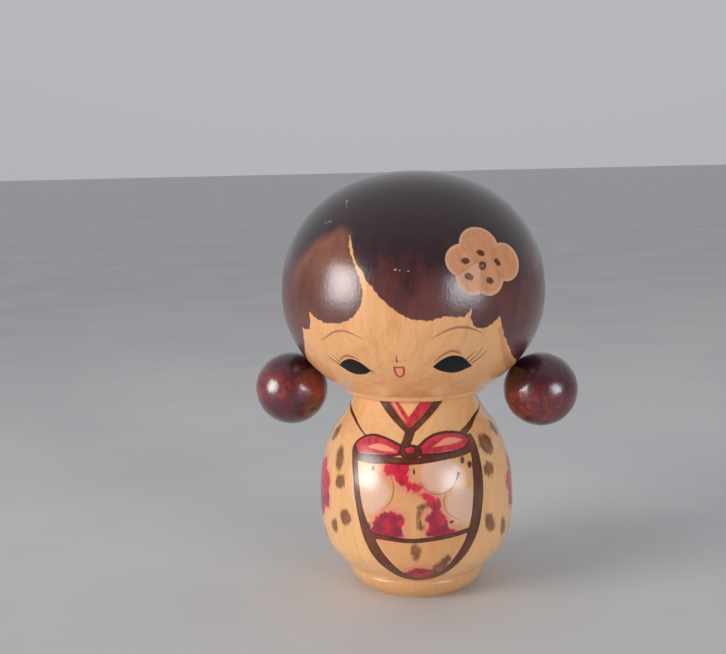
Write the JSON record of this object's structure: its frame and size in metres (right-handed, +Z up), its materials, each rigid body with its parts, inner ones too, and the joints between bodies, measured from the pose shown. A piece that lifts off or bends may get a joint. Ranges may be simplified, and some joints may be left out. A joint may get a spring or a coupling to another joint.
{
  "type": "kokeshi doll",
  "caption": "Turned wooden kokeshi girl: pear-shaped kimono body, big round head that twists on a neck dowel, and a pigtail ball on each side.",
  "frame": {"origin": "centre of the flat face that the doll stands on", "axes": "+Z up along the doll's turning axis, the kimono's front faces -Y, +X towards the doll's own left hand"},
  "size_m": [0.093, 0.0748, 0.12],
  "materials": {
    "kimono_body": "satin clear lacquer over pale wood, with burnt and dyed kimono decoration",
    "painted_head": "satin clear lacquer over dark stained hair and a bare wood face",
    "pigtail_stain": "gloss clear lacquer over mottled red-brown stain",
    "dowel_wood": "bare, unlacquered"
  },
  "bodies": {
    "body": {"body": "kimono_body", "neck_dowel": "dowel_wood"},
    "head": {"head": "painted_head", "left_pigtail_ball": "pigtail_stain", "right_pigtail_ball": "pigtail_stain", "left_pigtail_peg": "dowel_wood", "right_pigtail_peg": "dowel_wood"}
  },
  "joints": [
    {"name": "head_turn", "type": "hinge", "parent": "body", "child": "head", "pos_m": [0, 0, 0.0575], "axis": [0, 0, 1], "continuous": true}
  ]
}
